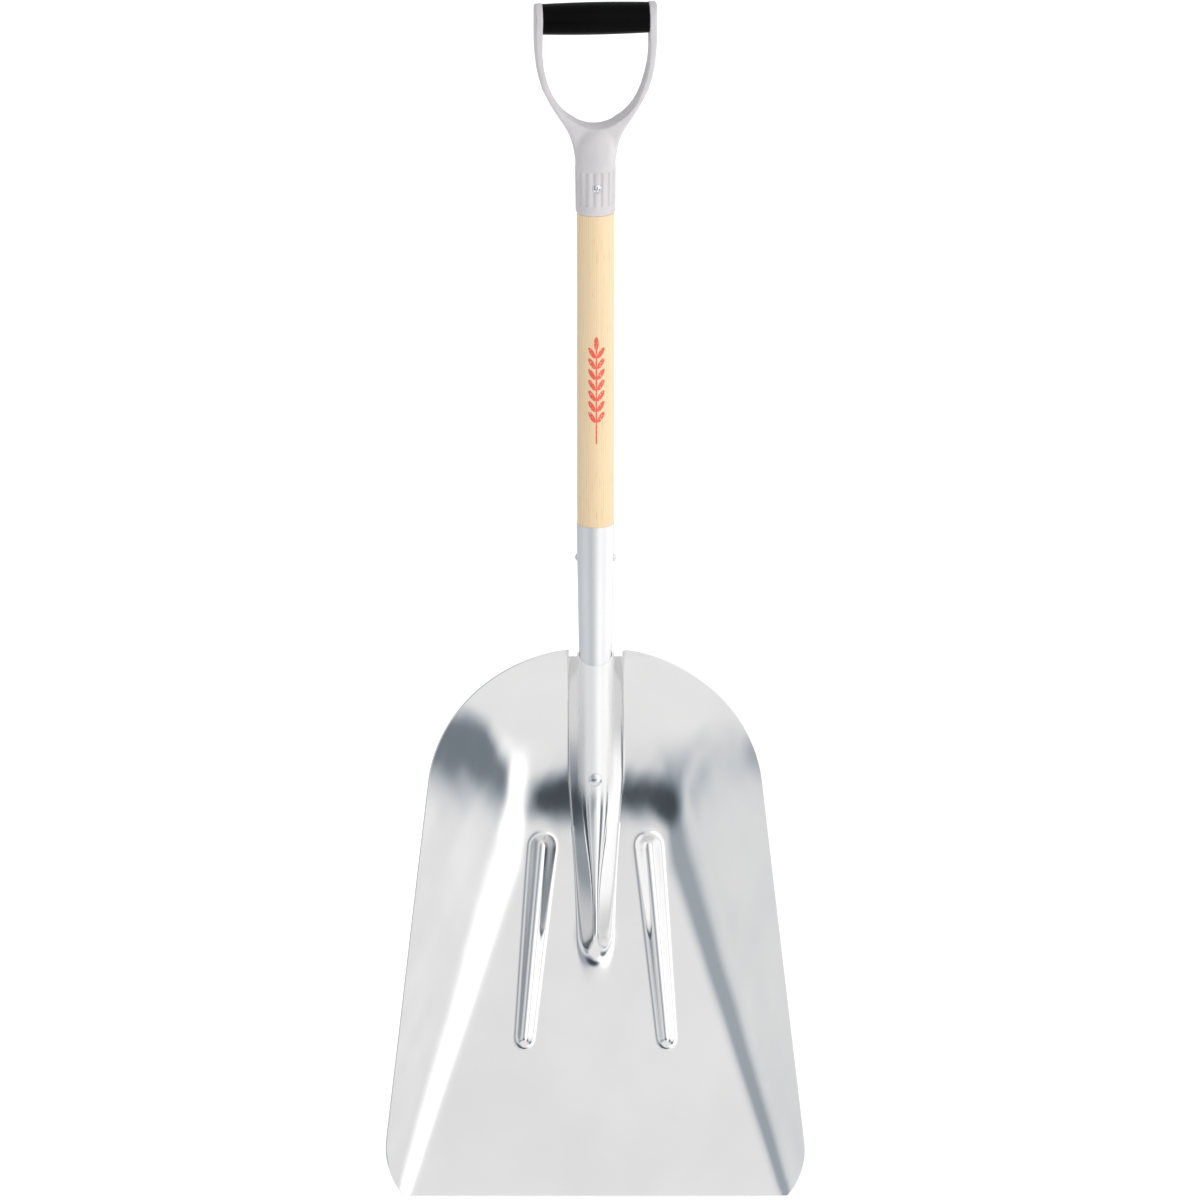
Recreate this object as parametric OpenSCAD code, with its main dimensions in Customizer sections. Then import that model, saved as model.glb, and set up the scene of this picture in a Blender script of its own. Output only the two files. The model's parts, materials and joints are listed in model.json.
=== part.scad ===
// Grain scoop shovel: a dished aluminium blade with a raised frog and two ribs, a rolled
// aluminium socket, a wooden shaft and a moulded D-grip with a soft hand grip.
// Millimetres. +Z runs up the shaft, -Y is the load side of the blade, +X is to the right.
// The origin is the underside of the hand bar, where a wall hook carries the shovel.

/* [Scoop blade] */
// Widest width of the blade, near the lip
blade_w = 387; // [380:1:394]
// Straight width of the lip
lip_w = 356; // [350:1:360]
// Length from the lip to the top of the rim, along the floor
blade_len = 508; // [504:1:512]
// Gauge of the blade, socket and back plate
sheet_t = 2; // [1.8:0.1:2.2]
// Inward slope of each side, in degrees
side_taper = 6.8; // [6:0.1:7.4]
// Slope of the side walls above the floor, in degrees
wall_angle = 32; // [28:1:36]
// Where the floor starts to curve up, measured from the lip
heel_start = 300; // [290:1:310]
// Inside radius of the curved heel
heel_r = 270; // [262:1:280]

/* [Frog and ribs] */
// Where the frog's nose ends, measured from the lip
frog_tip = 213; // [205:1:225]
// Width of the frog at the rim
frog_w = 50; // [48:1:52]
// Height of each stiffening rib at its upper end
rib_h = 9; // [6:0.5:10]
// Width of each stiffening rib at its upper end
rib_w = 30; // [26:1:32]
// Width of each stiffening rib at its lower end
rib_low_w = 20; // [16:1:26]

/* [Shaft and socket] */
// Angle between the shaft and the blade's floor
lift = 18; // [17:0.5:19]
// Height of the shaft's axis above the floor plane at the rim
axis_h = 102; // [101:0.5:103]
// From the rim up to the hand bar, along the shaft
rim_to_bar = 594; // [560:1:640]
// Diameter of the bare shaft
shaft_d = 33.6; // [33.4:0.1:34]
// Length of socket above the rim
socket_len = 122; // [110:1:130]
// Outer radius of the socket at its mouth
socket_r = 17.3; // [17.2:0.1:17.6]
// How much the socket's radius drops for each millimetre of length
socket_slope = 0.0164; // [0.015:0.0001:0.017]

/* [D-grip] */
// Width over the arms
grip_w = 110.8; // [108:0.2:114]
// Depth of the arms, front to back
arm_depth = 26; // [25:0.5:27]
// From the hand bar down to the mouth of the collar
collar_drop = 179; // [177:0.5:181]
// Turn of the whole grip about the shaft, in degrees
grip_turn = 5; // [-8:1:8]
// Outer radius of the collar
collar_r = 18; // [17.8:0.1:18.4]
// Largest diameter of the soft hand grip
sleeve_d = 29.4; // [28:0.2:30]
// Number of flutes round the collar
flutes = 16; // [12:2:18]

/* [Hidden] */
$fn = 64;

tiny = 0.01;       // overlap of cutting tools
fit_gap = 0.1;     // radial gap between fitted round pieces
reach = 200;       // cutting tools reach past everything

aluminium = [0.80, 0.81, 0.83];
polished = [0.90, 0.91, 0.93];
ash_wood = [0.92, 0.84, 0.68];
grey_poly = [0.80, 0.79, 0.81];
black_rubber = [0.06, 0.06, 0.06];
zinc = [0.78, 0.80, 0.82];

// ---- Places along the shaft, as heights in the row's frame ----
bar_z = sleeve_d/2;                   // axis of the hand bar
rim_z = bar_z - rim_to_bar;           // where the shaft's axis crosses the rim's plane
mouth_z = rim_z + socket_len;         // socket mouth
tip_z = rim_z - 135;                  // lower end of the shaft
tongue_z = rim_z - 142;               // lower end of the socket's back tongue
socket_rivet_z = mouth_z - 33;
frog_rivet_z = rim_z - 122;
collar_z = bar_z - collar_drop;       // mouth of the grip's collar
tenon_top_z = collar_z + 57;
screw_z = collar_z + 26;

// ---- The blade's own frame: x across, u up the floor from the lip, w towards the load ----
shaft_y = blade_len*sin(lift) - axis_h*cos(lift);
lip_z = rim_z - blade_len*cos(lift) - axis_h*sin(lift);

function place(x, u, w) =
    [x, u*sin(lift) - w*cos(lift) - shaft_y, u*cos(lift) + w*sin(lift) + lip_z];

module in_blade_frame()
    translate([0, -shaft_y, lip_z])
        multmatrix([
            [1, 0, 0, 0],
            [0, sin(lift), -cos(lift), 0],
            [0, cos(lift), sin(lift), 0],
            [0, 0, 0, 1]
        ])
            children();

function clamp01(t) = min(1, max(0, t));
function ease(t) = let (k = clamp01(t)) k*k*(3 - 2*k);
function mix(a, b, t) = a + (b - a)*t;

// ---- Outline of the blade: lip, round corner, tapering side, elliptical bow ----
corner_r = 73;
corner_u = 45;
corner_x = blade_w/2 - corner_r;
side_u = corner_u + corner_r*sin(side_taper);
side_x = corner_x + corner_r*cos(side_taper);
bow_h = 137;
bow_u = blade_len + 1 - bow_h;
bow_edge = side_x - (bow_u - side_u)*tan(side_taper);
bow_a = sqrt(bow_edge*bow_edge - pow(bow_h*tan(side_taper), 2));
bow_start = bow_u + bow_h*bow_h*tan(side_taper)/bow_edge;
lip_corner_x = lip_w/2;

function half_width(u) =
    u < side_u ? min(corner_x + sqrt(max(0, corner_r*corner_r - pow(corner_u - u, 2))),
                     lip_corner_x + u*1.7)
    : u < bow_start ? side_x - (u - side_u)*tan(side_taper)
    : bow_a*sqrt(max(0, 1 - pow((u - bow_u)/bow_h, 2)));

// ---- Dish of the blade ----
crease_slope = 0.306;                 // how fast the floor narrows towards the heel
function crease_x(u) = lip_corner_x - crease_slope*u;
function crease_blend(u) = 9 + 15*clamp01(u/380);
function ramp(q, c) = q < -c ? 0 : q > c ? q : (q + c)*(q + c)/(4*c);
function side_rise(x, u) = tan(wall_angle)*ramp(abs(x) - crease_x(u), crease_blend(u));
function heel_rise(u) =
    let (d = max(0, u - heel_start)) heel_r - sqrt(heel_r*heel_r - d*d);
function dish(x, u) = norm([side_rise(x, u), heel_rise(u)]);

// ---- The two ribs: round in section, lower and narrower towards the lip ----
rib_low = [66, 146];
rib_high = [49.5, 325];
function rib_axis_x(u) =
    mix(rib_low[0], rib_high[0], (u - rib_low[1])/(rib_high[1] - rib_low[1]));
function rib_rise(x, u) =
    let (p = [abs(x), u],
         run = rib_high - rib_low,
         t = clamp01((p - rib_low)*run/(run*run)),
         off = norm(p - rib_low - t*run),
         q = clamp01(off/(mix(rib_low_w, rib_w, t)/2)))
    rib_h*mix(0.65, 1, t)*pow(cos(90*q), 2);

// ---- The frog: round over the shaft, drawn down to a narrow ridge with a round nose ----
frog_tip_w = 29;
nose_len = 30;
ridge_end = 262;                      // below this the ridge is at its narrowest
round_start = 372;                    // above this it is as round as the socket
ridge_r = 3.5;
function frog_half(u) =
    mix(frog_tip_w/2, frog_w/2, pow(clamp01((u - frog_tip)/175), 1.6));
function socket_radius(z) = socket_r + (z - mouth_z)*socket_slope;
function frog_radius(u) =
    mix(ridge_r, socket_radius(rim_z + (u - blade_len)/cos(lift)),
        ease((u - ridge_end)/(round_start - ridge_end)));
function frog_crest(u) =
    axis_h + (u - blade_len)*tan(lift) + frog_radius(u)/cos(lift);

// Rounded ridge of radius r on straight flanks that reach the foot at half
function roof(off, tall, r, half) =
    let (lean = atan2(tall - r, half) + asin(r/norm([half, tall - r])))
    off < r*sin(lean) ? tall - r + sqrt(r*r - off*off)
                      : tall - r + r/cos(lean) - off*tan(lean);
function frog_rise(x, u) =
    let (half = frog_half(u),
         base = dish(half, u),
         tall = max(6, (frog_crest(u) - base)*cos(lift)),
         off = norm([x, half*max(0, frog_tip + nose_len - u)/nose_len]))
    base + roof(off, tall, frog_radius(u), half)/cos(lift);

function soft_max(a, b, k) =
    let (h = max(0, k - abs(a - b))/k) max(a, b) + h*h*k/4;
function blade_w_at(x, u) = soft_max(dish(x, u) + rib_rise(x, u), frog_rise(x, u), 5);

// Point on the sheet, pushed back from the load side by depth
function on_blade(x, u, depth) =
    let (e = 0.05,
         dx = (blade_w_at(x + e, u) - blade_w_at(x - e, u))/(2*e),
         du = (blade_w_at(x, u + e) - blade_w_at(x, u - e))/(2*e),
         n = [-dx, -du, 1]/norm([dx, du, 1]),
         p = [x, u, blade_w_at(x, u)] - depth*n)
    place(p[0], p[1], p[2]);

// ---- Grid that follows the blade's features ----
rim_u = blade_len - 3.5;
row_gap = 11.5;
corner_rows = [for (a = [-asin(corner_u/corner_r) : 6.5 : side_taper - 1])
    max(0, corner_u + corner_r*sin(a))];
side_rows = round((rim_u - side_u)/row_gap);
rows = concat(corner_rows, [for (i = [0 : side_rows]) mix(side_u, rim_u, i/side_rows)]);

function spread(a, b, n) = [for (i = [1 : n]) mix(a, b, i/n)];
function half_columns(u) =
    let (edge = half_width(u),
         q = clamp01((u - 330)/(rim_u - 330)),
         frog_edge = frog_half(u) + 3,
         rib_in = max(frog_edge + 1.5, mix(rib_axis_x(u) - rib_w/2, frog_edge + 2.5, q)),
         rib_out = max(rib_in + 2, mix(rib_axis_x(u) + rib_w/2, frog_edge + 5, q)),
         wall_in = min(crease_x(u) + crease_blend(u), edge - 6),
         wall = max(wall_in, mix(rib_out, edge, 0.5)))
    concat([0], spread(0, frog_edge, 6), spread(frog_edge, rib_in, 1),
           spread(rib_in, rib_out, 5), spread(rib_out, wall, 5), spread(wall, edge, 3));
function columns(u) =
    let (h = half_columns(u), n = len(h) - 1)
    concat([for (i = [n : -1 : 1]) -h[i]], h);
function bow_lift(x, u) = 3.5*pow(u/rim_u, 12)*(1 - pow(x/half_width(u), 2));

module blade_sheet() {
    n_cols = len(columns(0));
    n_rows = len(rows);
    side = n_rows*n_cols;
    skins = [for (depth = [0, sheet_t]) for (u = rows) for (x = columns(u))
        on_blade(x, u + bow_lift(x, u), depth)];
    function at(s, i, j) = s*side + i*n_cols + j;
    last_r = n_rows - 1;
    last_c = n_cols - 1;
    polyhedron(
        points = skins,
        faces = concat(
            [for (i = [0 : last_r - 1]) for (j = [0 : last_c - 1])
                [at(0, i, j), at(0, i + 1, j), at(0, i + 1, j + 1), at(0, i, j + 1)]],
            [for (i = [0 : last_r - 1]) for (j = [0 : last_c - 1])
                [at(1, i, j), at(1, i, j + 1), at(1, i + 1, j + 1), at(1, i + 1, j)]],
            [for (i = [0 : last_r - 1])
                [at(0, i, 0), at(1, i, 0), at(1, i + 1, 0), at(0, i + 1, 0)]],
            [for (i = [0 : last_r - 1])
                [at(0, i, last_c), at(0, i + 1, last_c), at(1, i + 1, last_c), at(1, i, last_c)]],
            [for (j = [0 : last_c - 1])
                [at(0, 0, j), at(0, 0, j + 1), at(1, 0, j + 1), at(1, 0, j)]],
            [for (j = [0 : last_c - 1])
                [at(0, last_r, j), at(1, last_r, j), at(1, last_r, j + 1), at(0, last_r, j + 1)]]
        ),
        convexity = 8
    );
}

// ---- Rivets ----
frog_rivet_r = 2.6;
frog_head_r = 6;
frog_head_h = 2.6;
frog_seat = socket_radius(frog_rivet_z) - 0.7;   // flat seats, pressed a little into the round
socket_rivet_r = 2.4;
socket_head_r = 3.8;
socket_head_h = 2.4;
socket_seat = socket_radius(socket_rivet_z) - 0.45;
washer_r = 6.4;
washer_t = 1.2;

module front_to_back(y0, y1, r, z)
    translate([0, y0, z]) rotate([-90, 0, 0]) cylinder(r = r, h = y1 - y0);

module side_to_side(x0, x1, r, z)
    translate([x0, 0, z]) rotate([0, 90, 0]) cylinder(r = r, h = x1 - x0);

// Low dome on a round rim, base at z = 0
module rivet_head(r, h) {
    rim = h*0.3;
    cap = h - rim;
    ball = (r*r + cap*cap)/(2*cap);
    rotate_extrude()
        intersection() {
            union() {
                square([r, rim]);
                translate([0, rim + cap - ball]) circle(r = ball);
            }
            square([r, h]);
        }
}

relief = 4;        // depth of the notches beside the socket
relief_in = 17;
relief_out = 24.5;
rim_cut = blade_len - 2;           // where the frog ends and the bare socket begins
lap = 13;          // the socket's front end is let this far into the frog
lap_w = 15.6;

// Round-ended gap in the frog, or the socket's matching tongue when it is shrunk
module lap_shape(shrink)
    translate([0, 0, 40])
        linear_extrude(reach)
            polygon(concat(
                [for (a = [180 : 12 : 360])
                    [(lap_w - shrink)*cos(a), rim_cut + (lap - shrink)*sin(a)]],
                [[lap_w - shrink, rim_cut + 20], [-lap_w + shrink, rim_cut + 20]]
            ));

module scoop_blade() {
    color(polished)
        difference() {
            blade_sheet();
            in_blade_frame() {
                translate([-relief_out, rim_cut, 0]) cube([2*relief_out, 20, reach]);
                for (s = [-1, 1])
                    translate([s*(relief_in + relief_out)/2, rim_cut - relief + 10, 120])
                        cube([relief_out - relief_in, 20, 140], center = true);
                lap_shape(0);
            }
            front_to_back(-reach, 0, frog_rivet_r + fit_gap, frog_rivet_z);
            front_to_back(-reach, -frog_seat, frog_head_r + 0.4, frog_rivet_z);
        }
}

// ---- Socket: a tapered tube whose back runs on below the rim as a tongue ----
tongue_y = 6.5;
module socket_cone(grow, z0, z1)
    translate([0, 0, z0])
        cylinder(r1 = socket_radius(z0) + grow, r2 = socket_radius(z1) + grow, h = z1 - z0);

module socket_tube() {
    color(aluminium)
        difference() {
            socket_cone(0, tongue_z, mouth_z);
            socket_cone(-sheet_t, tongue_z - 1, mouth_z + 1);
            difference() {
                intersection() {
                    in_blade_frame()
                        translate([-reach/2, rim_cut + fit_gap/2 - 2*reach, -reach])
                            cube([reach, 2*reach, 3*reach]);
                    translate([-reach, tongue_y - reach, tongue_z - reach])
                        cube([2*reach, reach, 3*reach]);
                }
                in_blade_frame() lap_shape(fit_gap/2);
            }
            side_to_side(-reach, reach, socket_rivet_r + fit_gap, socket_rivet_z);
            for (s = [0, 180])
                rotate([0, 0, s])
                    side_to_side(socket_seat, reach, socket_head_r + 0.3, socket_rivet_z);
            front_to_back(0, reach, frog_rivet_r + fit_gap, frog_rivet_z);
            front_to_back(frog_seat, reach, washer_r + 0.4, frog_rivet_z);
        }
}

// ---- Wooden shaft: bare length, tapered end in the socket, tenon in the grip ----
tenon_r = 14;
module wood_shaft() {
    socket_play = -sheet_t - fit_gap;
    color(ash_wood)
        difference() {
            union() {
                socket_cone(socket_play, tip_z, mouth_z);
                translate([0, 0, mouth_z])
                    cylinder(d = shaft_d, h = collar_z - mouth_z);
                translate([0, 0, collar_z - 1])
                    cylinder(r = tenon_r, h = tenon_top_z - collar_z + 1);
            }
            side_to_side(-reach, reach, socket_rivet_r + fit_gap, socket_rivet_z);
            front_to_back(-reach, reach, frog_rivet_r + fit_gap, frog_rivet_z);
            rotate([0, 0, grip_turn])
                front_to_back(-reach, -tenon_r + screw_bite, screw_r + fit_gap, screw_z);
        }
}

module socket_rivet() {
    color(zinc) {
        translate([-socket_seat, 0, socket_rivet_z])
            rotate([0, 90, 0]) cylinder(r = socket_rivet_r, h = 2*socket_seat);
        for (s = [0, 180])
            rotate([0, 0, s])
                translate([socket_seat, 0, socket_rivet_z])
                    rotate([0, 90, 0]) rivet_head(socket_head_r, socket_head_h);
    }
}

module frog_rivet() {
    tail = frog_seat + washer_t;
    color(zinc) {
        front_to_back(-frog_seat, tail, frog_rivet_r, frog_rivet_z);
        translate([0, -frog_seat, frog_rivet_z])
            rotate([90, 0, 0]) rivet_head(frog_head_r, frog_head_h);
        translate([0, tail, frog_rivet_z])
            rotate([-90, 0, 0]) rivet_head(4.4, 2);
    }
}

module frog_rivet_washer() {
    color(zinc)
        translate([0, frog_seat, frog_rivet_z])
            rotate([-90, 0, 0])
                difference() {
                    cylinder(r = washer_r, h = washer_t);
                    translate([0, 0, -1]) cylinder(r = frog_rivet_r + fit_gap, h = washer_t + 2);
                }
}

// ---- D-grip ----
// Outer half-widths of the yoke, paired with heights above the hand bar's axis
shoulder = [
    [52.0, 14.6], [54.2, 13.8], [grip_w/2, 11.5], [grip_w/2, -20], [grip_w/2 - 0.9, -33],
    [grip_w/2 - 2.2, -44], [grip_w/2 - 4.4, -54], [grip_w/2 - 7.4, -64], [43.2, -74],
    [37.0, -85], [29.4, -96.6], [25.6, -103], [22.9, -109], [20.8, -115.5], [19.5, -122],
    [18.5, -129], [17.4, -135]
];
// Half-widths and heights of the hand opening
opening = [
    [47.6, 30], [48.3, -30], [47.2, -42], [44.8, -53], [41.4, -64], [37.6, -73],
    [33.6, -79.5], [29.2, -85], [24, -89.5], [18, -93.5], [12, -96.3], [6, -98.1],
    [0, -98.7]
];
// Half-depths and heights of the arms, saddle and neck, seen from the side
depth_line = [
    [arm_depth/2, 2], [arm_depth/2 - 1, -40], [arm_depth/2 - 1, -78], [arm_depth/2, -91],
    [arm_depth/2 + 0.2, -99], [arm_depth/2 - 1, -104], [arm_depth/2 - 3.4, -109],
    [7, -116], [5, -126], [4, -140]
];
// Radius and height of the round neck that rises from the collar to the saddle
neck = [
    [0, -94], [9, -96], [13, -98.8], [15.4, -102], [17, -106], [17.8, -111],
    [18.1, -118], [18.2, -128], [18.3, -140], [0, -140]
];
function mirror_left(line) =
    concat(line, [for (i = [len(line) - 1 : -1 : 0]) [-line[i][0], line[i][1]]]);

core_r = 10.5;
bar_half = 47.5;
barrel_end_r = sleeve_d/2 - 0.9;
back_sector = 62;      // half angle of the hard back of the hand bar
back_tilt = 6;
flute_r = 2;
flute_depth = 1.2;
screw_r = 2.2;
screw_bite = 11;
screw_seat = 16.2;
screw_head_r = 4;
screw_head_h = 1.9;

// Barrel round the X axis, with its bulge set by how far the ends drop
module barrel(r_mid, r_end, half)
    rotate([0, 90, 0])
        rotate_extrude($fn = 128)
            polygon(concat(
                [[0, -half]],
                [for (t = [-1 : 0.125 : 1]) [r_mid - (r_mid - r_end)*t*t, half*t]],
                [[0, half]]
            ));

// Wedge that stands for the hard back of the hand bar
module back_wedge(spare, long)
    rotate([back_tilt, 0, 0])
        rotate([90, 0, 90])
            translate([0, 0, -long])
                linear_extrude(2*long)
                    polygon([
                        [0, 0],
                        [60*cos(back_sector - spare), -60*sin(back_sector - spare)],
                        [80, 0],
                        [60*cos(back_sector - spare), 60*sin(back_sector - spare)]
                    ]);

module grip_yoke() {
    color(grey_poly)
        rotate([0, 0, grip_turn]) difference() {
            union() {
                difference() {
                    union() {
                        intersection() {
                            translate([0, 0, bar_z])
                                rotate_extrude($fn = 128)
                                    polygon(concat([[0, 14.6]], shoulder, [[0, -135]]));
                            union() {
                                translate([0, 0, bar_z])
                                    rotate([90, 0, 90])
                                        linear_extrude(2*reach, center = true)
                                            polygon(mirror_left(depth_line));
                                translate([-reach, 0, bar_z])
                                    rotate([0, 90, 0])
                                        cylinder(d = sleeve_d - 0.4, h = 2*reach);
                            }
                        }
                        translate([0, 0, bar_z]) rotate_extrude($fn = 128) polygon(neck);
                    }
                    translate([0, reach/2, bar_z])
                        rotate([90, 0, 0])
                            linear_extrude(reach) polygon(mirror_left(opening));
                }
                translate([-bar_half - 1, 0, bar_z])
                    rotate([0, 90, 0]) cylinder(r = core_r, h = 2*bar_half + 2);
                translate([0, 0, bar_z])
                    intersection() {
                        barrel(sleeve_d/2 + 0.3, barrel_end_r, bar_half + tiny);
                        back_wedge(0, bar_half + tiny);
                    }
                translate([0, 0, collar_z + 2])
                    cylinder(r1 = collar_r, r2 = 18.5, h = bar_z - 137 - collar_z - 2);
                translate([0, 0, collar_z])
                    cylinder(r1 = collar_r - 1.2, r2 = collar_r, h = 2);
            }
            translate([0, 0, collar_z - 1])
                cylinder(r = tenon_r + fit_gap, h = tenon_top_z - collar_z + 2);
            for (i = [0 : flutes - 1])
                rotate([0, 0, (i + 0.5)*360/flutes - 90])
                    translate([collar_r + flute_r - flute_depth, 0, collar_z + 8.8])
                        cylinder(r = flute_r, h = 32, $fn = 24);
            front_to_back(-reach, 0, screw_r + fit_gap, screw_z);
            front_to_back(-reach, -screw_seat, screw_head_r + 0.3, screw_z);
        }
}

module hand_grip() {
    color(black_rubber)
        rotate([0, 0, grip_turn]) translate([0, 0, bar_z])
            difference() {
                barrel(sleeve_d/2, barrel_end_r, bar_half - 0.1);
                translate([-reach/2, 0, 0])
                    rotate([0, 90, 0]) cylinder(r = core_r + 0.05, h = reach);
                back_wedge(-0.3, reach/2);
            }
}

module grip_screw() {
    color(zinc)
        rotate([0, 0, grip_turn])
            difference() {
                union() {
                    front_to_back(-screw_seat, -tenon_r + screw_bite - 1, screw_r, screw_z);
                    translate([0, -screw_seat, screw_z])
                        rotate([90, 0, 0]) rivet_head(screw_head_r, screw_head_h);
                }
                for (a = [0, 90])
                    translate([0, -screw_seat - screw_head_h, screw_z])
                        rotate([0, a + 20, 0]) cube([4.6, 2.4, 0.9], center = true);
            }
}

scoop_blade();
socket_tube();
wood_shaft();
socket_rivet();
frog_rivet();
frog_rivet_washer();
grip_yoke();
hand_grip();
grip_screw();
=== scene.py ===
"""A grain scoop shovel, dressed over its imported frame.

Every size is in metres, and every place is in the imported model's own frame: +Z runs up
the shaft to the grip, -Y is the load side of the pan and +X is to the right.
"""

import json
import logging
import math
from dataclasses import dataclass, field
from enum import Enum

import bmesh
import bpy
import numpy as np
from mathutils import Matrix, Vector


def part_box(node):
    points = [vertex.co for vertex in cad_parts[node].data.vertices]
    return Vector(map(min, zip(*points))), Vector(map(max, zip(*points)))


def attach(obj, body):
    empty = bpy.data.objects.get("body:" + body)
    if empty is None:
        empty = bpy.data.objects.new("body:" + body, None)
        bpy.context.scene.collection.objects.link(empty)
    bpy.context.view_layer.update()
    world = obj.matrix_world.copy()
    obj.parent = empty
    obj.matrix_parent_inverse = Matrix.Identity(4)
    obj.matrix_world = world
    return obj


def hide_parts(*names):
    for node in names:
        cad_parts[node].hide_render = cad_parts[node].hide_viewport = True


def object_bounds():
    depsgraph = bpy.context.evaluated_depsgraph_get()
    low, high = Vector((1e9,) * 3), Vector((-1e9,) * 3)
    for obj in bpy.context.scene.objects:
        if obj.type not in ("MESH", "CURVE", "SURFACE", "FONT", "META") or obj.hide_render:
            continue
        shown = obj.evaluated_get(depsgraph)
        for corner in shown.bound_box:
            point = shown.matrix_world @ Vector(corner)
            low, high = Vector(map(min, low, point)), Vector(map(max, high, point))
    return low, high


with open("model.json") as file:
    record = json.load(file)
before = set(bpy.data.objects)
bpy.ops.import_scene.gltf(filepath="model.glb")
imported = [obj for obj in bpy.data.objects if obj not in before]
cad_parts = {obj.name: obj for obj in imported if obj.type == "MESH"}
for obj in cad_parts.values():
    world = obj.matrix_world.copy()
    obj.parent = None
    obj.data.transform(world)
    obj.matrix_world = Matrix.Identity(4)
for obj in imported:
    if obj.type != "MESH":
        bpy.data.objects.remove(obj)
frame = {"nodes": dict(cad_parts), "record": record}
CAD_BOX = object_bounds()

LOG = logging.getLogger("scoop")
MM = 0.001
BODY = "root"
LEAST_CUT = 1e-10  # cubic metres: a cut that takes less has failed
Rgb = tuple[float, float, float]
Array = np.ndarray


# ---------------------------------------------------------------- shader arithmetic


class Val:
    """A number that varies over a surface: a shader socket that takes part in sums."""

    def __init__(self, paint: "Nodes", socket: bpy.types.NodeSocket) -> None:
        """Wraps a socket.

        Args:
            paint: the node tree that the socket belongs to.
            socket: the output socket that carries the number.
        """
        self.paint = paint
        self.socket = socket

    def _math(self, operation: str, *terms: "Val | float", clamp: bool = False) -> "Val":
        """Adds a Math node.

        Args:
            operation: the node's operation.
            terms: its inputs in order.
            clamp: whether the result is held between 0 and 1.

        Returns:
            The node's result.
        """
        made = self.paint.node(
            "ShaderNodeMath", {"operation": operation, "use_clamp": clamp},
            dict(enumerate(terms)))
        return Val(self.paint, made.outputs[0])

    def __add__(self, other: "Val | float") -> "Val":
        """Sum."""
        return self._math("ADD", self, other)

    def __radd__(self, other: float) -> "Val":
        """Sum with a plain number in front."""
        return self._math("ADD", other, self)

    def __sub__(self, other: "Val | float") -> "Val":
        """Difference."""
        return self._math("SUBTRACT", self, other)

    def __rsub__(self, other: float) -> "Val":
        """Difference from a plain number."""
        return self._math("SUBTRACT", other, self)

    def __mul__(self, other: "Val | float") -> "Val":
        """Product."""
        return self._math("MULTIPLY", self, other)

    def __rmul__(self, other: float) -> "Val":
        """Product with a plain number in front."""
        return self._math("MULTIPLY", other, self)

    def __truediv__(self, other: "Val | float") -> "Val":
        """Quotient."""
        return self._math("DIVIDE", self, other)

    def __abs__(self) -> "Val":
        """Size without its sign."""
        return self._math("ABSOLUTE", self)

    def most(self, other: "Val | float") -> "Val":
        """The larger of two."""
        return self._math("MAXIMUM", self, other)

    def bearing(self, other: "Val | float") -> "Val":
        """Angle of this against another, as arctan2 gives it."""
        return self._math("ARCTAN2", self, other)

    def angle(self) -> "Val":
        """The angle whose sine this is."""
        return self._math("ARCSINE", self)

    def part(self) -> "Val":
        """What is left after the whole number."""
        return self._math("FRACT", self)

    def root(self) -> "Val":
        """Square root."""
        return self._math("SQRT", self)

    def clip(self) -> "Val":
        """Held between 0 and 1."""
        return self._math("ADD", self, 0.0, clamp=True)

    def step(self, low: float, high: float) -> "Val":
        """Rises smoothly from 0 to 1.

        Args:
            low: where it is still 0.
            high: where it has reached 1. May be below low, for a fall.

        Returns:
            The eased number.
        """
        made = self.paint.node(
            "ShaderNodeMapRange", {"interpolation_type": "SMOOTHSTEP", "clamp": True},
            {"Value": self, "From Min": low, "From Max": high})
        return Val(self.paint, made.outputs[0])


class Nodes:
    """A node tree under construction."""

    def __init__(self, owner: bpy.types.Material | bpy.types.World) -> None:
        """Empties the tree of its owner.

        Args:
            owner: the material or world that holds the tree.
        """
        owner.use_nodes = True
        self.tree = owner.node_tree
        self.tree.nodes.clear()

    def node(self, kind: str, settings: dict | None = None,
             sockets: dict | None = None) -> bpy.types.Node:
        """Adds a node.

        Args:
            kind: the node's type.
            settings: its properties, which are set first. A ramp's stops are "stops".
            sockets: input name or number to a value, a Val or an output socket.

        Returns:
            The new node.
        """
        made = self.tree.nodes.new(kind)
        for name, value in (settings or {}).items():
            if name == "stops":
                self._stops(made.color_ramp, value)
            else:
                setattr(made, name, value)
        for name, value in (sockets or {}).items():
            self.feed(made, name, value)
        return made

    @staticmethod
    def _stops(ramp: bpy.types.ColorRamp, stops: list[tuple[float, Rgb]]) -> None:
        """Sets a ramp's stops.

        Args:
            ramp: the ramp.
            stops: position and colour of each stop.
        """
        while len(ramp.elements) < len(stops):
            ramp.elements.new(0.5)
        for element, (place, colour) in zip(ramp.elements, stops):
            element.position = place
            element.color = (*colour, 1.0)

    def feed(self, node: bpy.types.Node, name: str | int, value: object) -> None:
        """Links or sets one input.

        Args:
            node: the node.
            name: the input's name or number.
            value: a number, a tuple, a Val or an output socket.
        """
        target = node.inputs[name]
        if isinstance(value, Val):
            self.tree.links.new(value.socket, target)
        elif isinstance(value, bpy.types.NodeSocket):
            self.tree.links.new(value, target)
        elif target.type == "RGBA" and len(value) == 3:
            target.default_value = (*value, 1.0)
        else:
            target.default_value = value


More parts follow.
